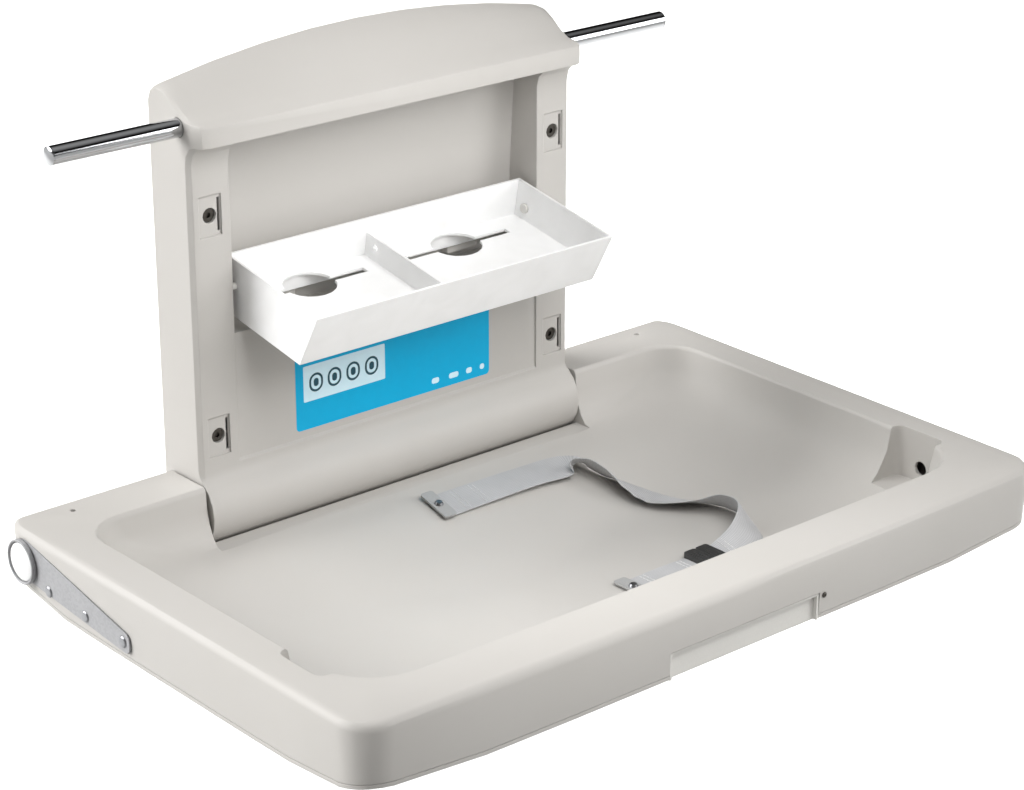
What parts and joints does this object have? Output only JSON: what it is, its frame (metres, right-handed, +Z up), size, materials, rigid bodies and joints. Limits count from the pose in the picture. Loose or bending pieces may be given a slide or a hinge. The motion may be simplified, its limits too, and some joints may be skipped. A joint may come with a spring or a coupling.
{
  "type": "baby changing station",
  "caption": "Wall-mounted fold-down changing bed with a moulded basin and safety belt, hung from a hooded back housing with a tilting liner tray and a cross rod for bags.",
  "frame": {"origin": "on the wall face behind the station, at its middle, at the height of the bed's hinge line", "axes": "+X to the right along the wall as a user faces it, +Y into the wall, +Z up"},
  "size_m": [0.8866, 0.583, 0.5336],
  "materials": {
    "beige_plastic": "fine moulded grain",
    "white_plastic": "smooth moulded",
    "grey_steel": "grey coated",
    "polished_steel": "polished stainless",
    "dark_steel": "dark zinc",
    "black_plastic": "moulded",
    "grey_plastic": "moulded",
    "webbing": "woven"
  },
  "bodies": {
    "back_unit": {"wall_plate": "grey_steel", "back_housing": "beige_plastic", "hang_rod": "polished_steel", "rod_plug_left": "polished_steel", "rod_plug_right": "polished_steel", "hinge_bush_left": "black_plastic", "hinge_bush_right": "black_plastic", "damper_body": "dark_steel", "pillar_screw_1": "dark_steel", "pillar_screw_2": "dark_steel", "pillar_screw_3": "dark_steel", "pillar_screw_4": "dark_steel"},
    "bed": {"bed_shell": "beige_plastic", "bed_base": "beige_plastic", "hinge_arm_left": "grey_steel", "hinge_arm_right": "grey_steel", "pivot_cap_left": "white_plastic", "pivot_cap_right": "white_plastic", "hinge_axle": "grey_steel", "damper_rotor": "grey_steel", "grip_insert": "grey_plastic", "belt_strap": "webbing", "belt_tail": "webbing", "buckle_socket": "black_plastic", "buckle_tongue": "black_plastic", "belt_anchor_rear": "grey_plastic", "belt_anchor_front": "grey_plastic", "anchor_screw_rear": "polished_steel", "anchor_screw_front": "polished_steel", "arm_rivet_left_1": "grey_steel", "arm_rivet_left_2": "grey_steel", "arm_rivet_left_3": "grey_steel", "arm_rivet_right_1": "grey_steel", "arm_rivet_right_2": "grey_steel", "arm_rivet_right_3": "grey_steel"},
    "tray": {"dispenser_tray": "white_plastic", "tray_pin_left": "grey_steel", "tray_pin_right": "grey_steel"}
  },
  "joints": [
    {"name": "bed_fold", "type": "hinge", "parent": "back_unit", "child": "bed", "pos_m": [0, -0.045, 0], "axis": [-1, 0, 0], "range_deg": [0, 90], "deforming": ["belt_strap", "belt_tail"]},
    {"name": "tray_fold", "type": "hinge", "parent": "back_unit", "child": "tray", "pos_m": [0, -0.06147, 0.22904], "axis": [-1, 0, 0], "range_deg": [0, 101]}
  ],
  "couplings": [
    {"joint": "tray_fold", "follows": "bed_fold", "ratio": 1.1167}
  ]
}
